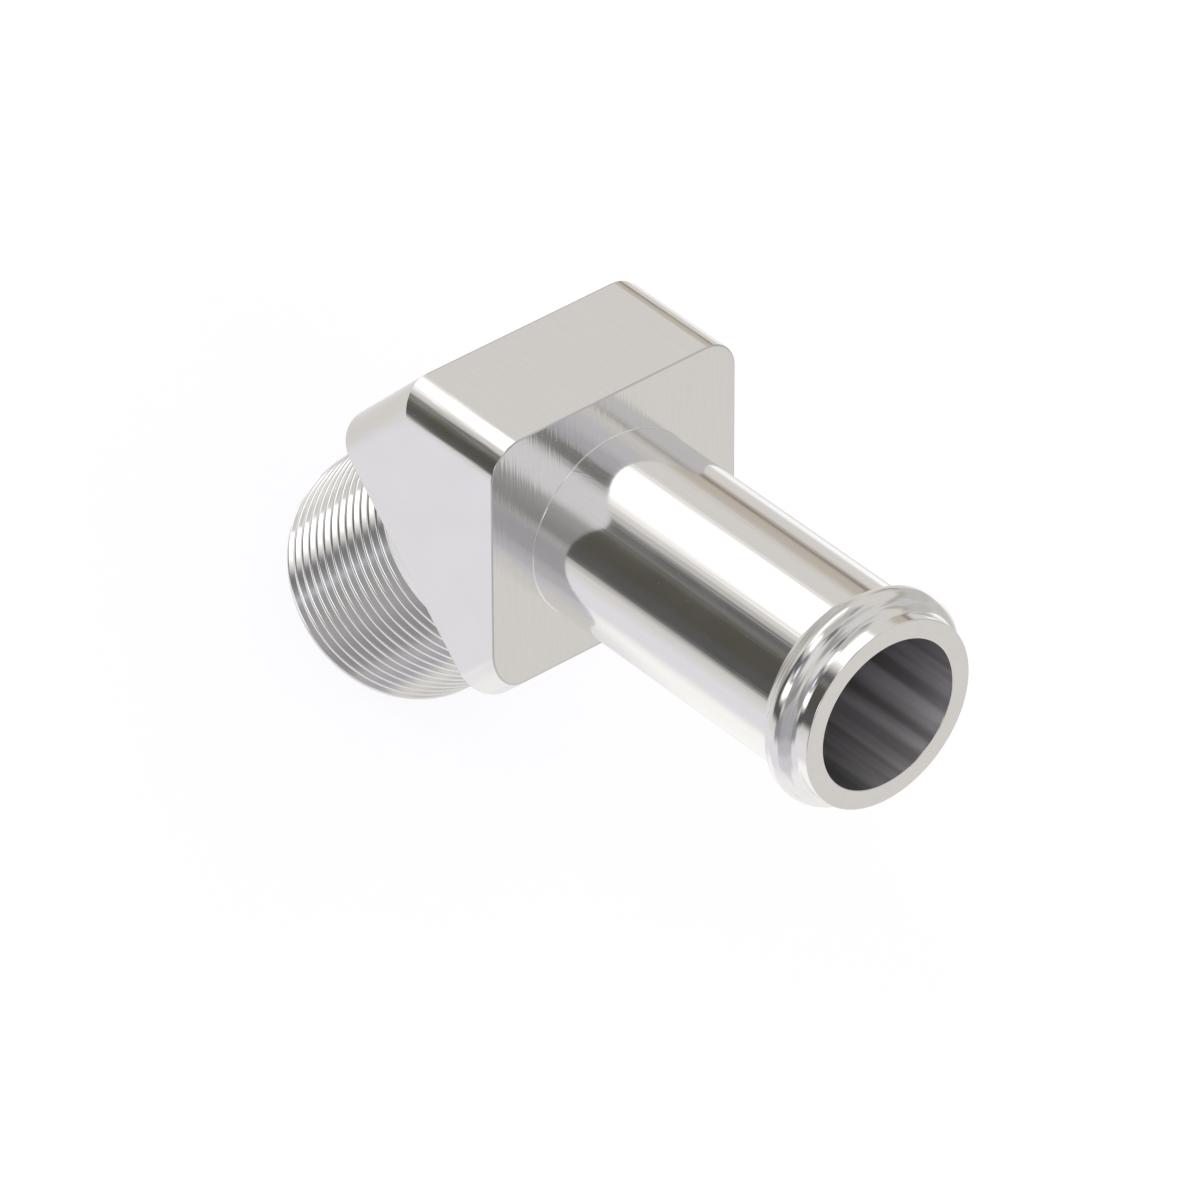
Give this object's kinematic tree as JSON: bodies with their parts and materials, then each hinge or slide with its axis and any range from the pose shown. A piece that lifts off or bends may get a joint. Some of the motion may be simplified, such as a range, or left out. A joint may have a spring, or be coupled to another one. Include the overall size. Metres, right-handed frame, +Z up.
{
  "type": "hose stem",
  "caption": "Square elbow block with a tapered male pipe thread below and a bored, beaded hose stem that leaves it at an angle.",
  "frame": {"origin": "centre of the thread's end face, on the axis of the thread and its bore", "axes": "+Z up the thread axis into the block, +X to the side towards which the stem leans, +Y completes a right-handed frame; the elbow is symmetric about the XZ plane"},
  "size_m": [0.0703, 0.0382, 0.0949],
  "materials": {
    "stainless_steel": "polished"
  },
  "bodies": {
    "root": {"hose_stem": "stainless_steel"}
  },
  "joints": []
}
